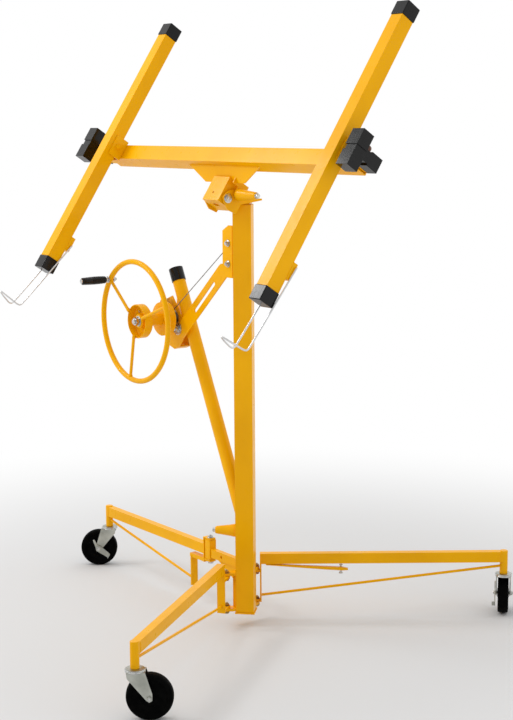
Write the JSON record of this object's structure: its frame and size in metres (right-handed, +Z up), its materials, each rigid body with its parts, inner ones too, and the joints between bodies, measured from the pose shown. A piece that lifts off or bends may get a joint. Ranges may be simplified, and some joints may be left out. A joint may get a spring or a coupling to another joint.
{
  "type": "drywall lift",
  "caption": "Drywall panel lift: tripod base on swivel casters, telescoping mast raised by a hand-wheel winch and cable, and a tilting cradle with cross arms, hooks and outriggers.",
  "frame": {"origin": "on the floor, under the centre of the bounding box of the lift as it stands with its mast down", "axes": "+Z up along the mast; +X away from the winch and along the crossbar; the cradle is tilted to face -Y; the hand wheel is on the -Y side"},
  "size_m": [1.554, 1.4786, 1.8674],
  "materials": {
    "yellow_paint": "glossy baked enamel",
    "black_plastic": "moulded, slightly glossy",
    "zinc": "zinc plated, semi-bright",
    "bright_steel": "bright plated",
    "wire": "drawn and plated wire",
    "cable_steel": "stranded",
    "tyre": "hard rubber, satin"
  },
  "bodies": {
    "mast": {"mast_outer": "yellow_paint", "left_leg_bracket": "yellow_paint", "right_leg_bracket": "yellow_paint", "rear_spine": "yellow_paint", "diagonal_tube": "yellow_paint", "diagonal_tube_cap": "black_plastic", "brace_plate": "yellow_paint", "brace_plate_far": "yellow_paint", "winch_bracket": "yellow_paint", "sheave_bolt": "bright_steel", "brace_lower_bolt": "bright_steel", "brace_bolt": "bright_steel", "lift_cable": "cable_steel", "left_leg_pin": "bright_steel", "right_leg_pin": "bright_steel", "rear_leg_pin": "bright_steel"},
    "sheave": {"cable_sheave": "zinc"},
    "base_latch": {"base_latch": "yellow_paint"},
    "winch": {"winch_shaft": "bright_steel", "wheel_hub": "yellow_paint", "hand_wheel": "yellow_paint", "brake_drum": "yellow_paint", "cable_reel": "zinc"},
    "grip": {"wheel_grip": "black_plastic"},
    "middle_section": {"mast_middle": "yellow_paint"},
    "inner_section": {"mast_inner": "yellow_paint"},
    "head": {"head_yoke": "yellow_paint", "tilt_bolt": "bright_steel"},
    "cradle": {"cradle_box": "yellow_paint", "crossbar": "yellow_paint"},
    "tilt_latch": {"tilt_latch": "yellow_paint"},
    "left_arm": {"left_arm": "yellow_paint", "left_arm_lower_cap": "black_plastic", "left_arm_upper_cap": "black_plastic", "left_saddle": "yellow_paint"},
    "left_hook": {"left_hook": "wire"},
    "left_outrigger": {"left_outrigger": "yellow_paint", "left_outrigger_pad": "black_plastic"},
    "right_arm": {"right_arm": "yellow_paint", "right_arm_lower_cap": "black_plastic", "right_arm_upper_cap": "black_plastic", "right_saddle": "yellow_paint"},
    "right_hook": {"right_hook": "wire"},
    "right_outrigger": {"right_outrigger": "yellow_paint", "right_outrigger_pad": "black_plastic"},
    "left_leg": {"left_leg": "yellow_paint", "left_leg_rod": "yellow_paint"},
    "left_caster": {"left_caster_fork": "zinc"},
    "left_wheel": {"left_caster_wheel": "tyre"},
    "right_leg": {"right_leg": "yellow_paint", "right_leg_rod": "yellow_paint"},
    "right_caster": {"right_caster_fork": "zinc"},
    "right_wheel": {"right_caster_wheel": "tyre"},
    "right_brake": {"right_brake_pedal": "zinc"},
    "rear_leg": {"rear_leg": "yellow_paint", "rear_leg_rod": "yellow_paint"},
    "rear_caster": {"rear_caster_fork": "zinc"},
    "rear_wheel": {"rear_caster_wheel": "tyre"},
    "rear_brake": {"rear_brake_pedal": "zinc"}
  },
  "joints": [
    {"name": "mast_middle_slide", "type": "slide", "parent": "mast", "child": "middle_section", "axis": [0, 0, 1], "range_m": [0, 0.95]},
    {"name": "mast_inner_slide", "type": "slide", "parent": "middle_section", "child": "inner_section", "axis": [0, 0, 1], "range_m": [0, 0.95]},
    {"name": "wheel_turn", "type": "hinge", "parent": "mast", "child": "winch", "pos_m": [-0.23397, -0.02455, 0.93], "axis": [0, 1, 0], "range_deg": [0, 3300]},
    {"name": "sheave_turn", "type": "hinge", "parent": "mast", "child": "sheave", "pos_m": [0.07403, -0.02455, 1.187], "axis": [0, 1, 0], "range_deg": [0, 3650]},
    {"name": "grip_spin", "type": "hinge", "parent": "winch", "child": "grip", "pos_m": [-0.37714, -0.22455, 1.05185], "axis": [0, 1, 0], "continuous": true},
    {"name": "base_latch_pull", "type": "slide", "parent": "mast", "child": "base_latch", "axis": [-0.7071, -0.7071, 0], "range_m": [0, 0.012], "stiffness_N_per_m": 900, "springref_m": -0.004},
    {"name": "head_swivel", "type": "hinge", "parent": "inner_section", "child": "head", "pos_m": [0.11003, -0.02455, 1.31], "axis": [0, 0, 1], "continuous": true},
    {"name": "cradle_tilt", "type": "hinge", "parent": "head", "child": "cradle", "pos_m": [0.10603, -0.11555, 1.327], "axis": [1, 0, 0], "range_deg": [-56.66, 8]},
    {"name": "tilt_latch_pull", "type": "slide", "parent": "cradle", "child": "tilt_latch", "axis": [1, 0, 0], "range_m": [0, 0.012], "stiffness_N_per_m": 900, "springref_m": -0.004},
    {"name": "left_arm_pivot", "type": "hinge", "parent": "cradle", "child": "left_arm", "pos_m": [-0.46557, -0.10274, 1.45563], "axis": [0, -0.8354, 0.5496], "range_deg": [-40, 40]},
    {"name": "left_hook_swing", "type": "hinge", "parent": "left_arm", "child": "left_hook", "pos_m": [-0.46557, -0.30246, 1.15969], "axis": [1, 0, 0], "range_deg": [-16, 8]},
    {"name": "left_outrigger_slide", "type": "slide", "parent": "cradle", "child": "left_outrigger", "axis": [-1, 0, 0], "range_m": [0, 0.25]},
    {"name": "right_arm_pivot", "type": "hinge", "parent": "cradle", "child": "right_arm", "pos_m": [0.67763, -0.10274, 1.45563], "axis": [0, -0.8354, 0.5496], "range_deg": [-22, 22]},
    {"name": "right_hook_swing", "type": "hinge", "parent": "right_arm", "child": "right_hook", "pos_m": [0.67763, -0.29312, 1.1739], "axis": [1, 0, 0], "range_deg": [-25, 0]},
    {"name": "right_outrigger_slide", "type": "slide", "parent": "cradle", "child": "right_outrigger", "axis": [1, 0, 0], "range_m": [0, 0.25]},
    {"name": "left_leg_fold", "type": "hinge", "parent": "mast", "child": "left_leg", "pos_m": [0.08203, -0.08255, 0.1], "axis": [0, 0, 1], "range_deg": [-105, 0]},
    {"name": "left_caster_swivel", "type": "hinge", "parent": "left_leg", "child": "left_caster", "pos_m": [0.5447, -0.70785, 0.135], "axis": [0, 0, 1], "continuous": true},
    {"name": "left_wheel_roll", "type": "hinge", "parent": "left_caster", "child": "left_wheel", "pos_m": [0.56757, -0.67751, 0.0635], "axis": [-0.7986, 0.6018, 0], "continuous": true},
    {"name": "right_leg_fold", "type": "hinge", "parent": "mast", "child": "right_leg", "pos_m": [0.08203, 0.03345, 0.1], "axis": [0, 0, 1], "range_deg": [0, 105]},
    {"name": "right_caster_swivel", "type": "hinge", "parent": "right_leg", "child": "right_caster", "pos_m": [0.5447, 0.65876, 0.135], "axis": [0, 0, 1], "continuous": true},
    {"name": "right_wheel_roll", "type": "hinge", "parent": "right_caster", "child": "right_wheel", "pos_m": [0.5183, 0.68609, 0.0635], "axis": [-0.7193, -0.6947, 0], "continuous": true},
    {"name": "right_brake_press", "type": "hinge", "parent": "right_caster", "child": "right_brake", "pos_m": [0.5183, 0.68609, 0.0635], "axis": [-0.7193, -0.6947, 0], "range_deg": [0, 18]},
    {"name": "rear_leg_fold", "type": "hinge", "parent": "mast", "child": "rear_leg", "pos_m": [-0.08397, -0.02455, 0.1], "axis": [0, 0, 1], "range_deg": [-100, 0]},
    {"name": "rear_caster_swivel", "type": "hinge", "parent": "rear_leg", "child": "rear_caster", "pos_m": [-0.70597, -0.02455, 0.135], "axis": [0, 0, 1], "continuous": true},
    {"name": "rear_wheel_roll", "type": "hinge", "parent": "rear_caster", "child": "rear_wheel", "pos_m": [-0.72884, -0.0549, 0.0635], "axis": [0.7986, -0.6018, 0], "continuous": true},
    {"name": "rear_brake_press", "type": "hinge", "parent": "rear_caster", "child": "rear_brake", "pos_m": [-0.72884, -0.0549, 0.0635], "axis": [0.7986, -0.6018, 0], "range_deg": [0, 18]}
  ],
  "couplings": [
    {"joint": "mast_inner_slide", "follows": "mast_middle_slide", "ratio": 1},
    {"joint": "wheel_turn", "follows": "mast_middle_slide", "rad_per_m": 60},
    {"joint": "sheave_turn", "follows": "mast_middle_slide", "rad_per_m": 66}
  ]
}
